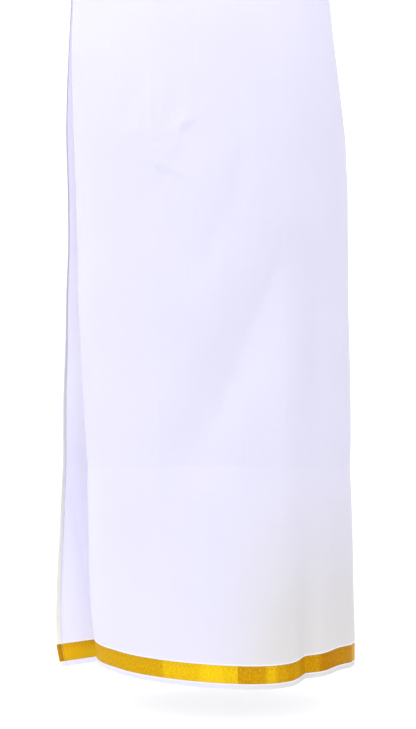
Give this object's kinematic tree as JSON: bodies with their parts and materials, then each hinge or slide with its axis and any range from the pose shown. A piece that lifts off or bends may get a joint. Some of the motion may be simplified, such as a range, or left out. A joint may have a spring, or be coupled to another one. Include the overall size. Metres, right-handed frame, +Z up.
{
  "type": "dhoti cloth",
  "caption": "Worn dhoti: a white cotton rectangle wound round the waist to the ankles, with a flat gold border at the hem and one free end standing off.",
  "frame": {"origin": "middle of the waist, at the height of the waist roll's middle", "axes": "+Z up; -Y towards the back of the wearer, the side that the picture shows; +X towards the wearer's right hand; the free end stands off at -X"},
  "size_m": [0.3893, 0.2638, 0.994],
  "materials": {
    "cotton": "plain woven white cotton, matt, pressed",
    "zari": "gold zari woven into cotton, soft metallic sheen"
  },
  "bodies": {
    "root": {"back_cloth": "cotton", "front_cloth": "cotton", "free_end_cloth": "cotton", "inner_end_cloth": "cotton", "back_border": "zari", "front_border": "zari", "free_end_border": "zari", "inner_end_border": "zari", "free_end_hem": "cotton", "inner_end_hem": "cotton", "waist_roll": "cotton"}
  },
  "joints": []
}
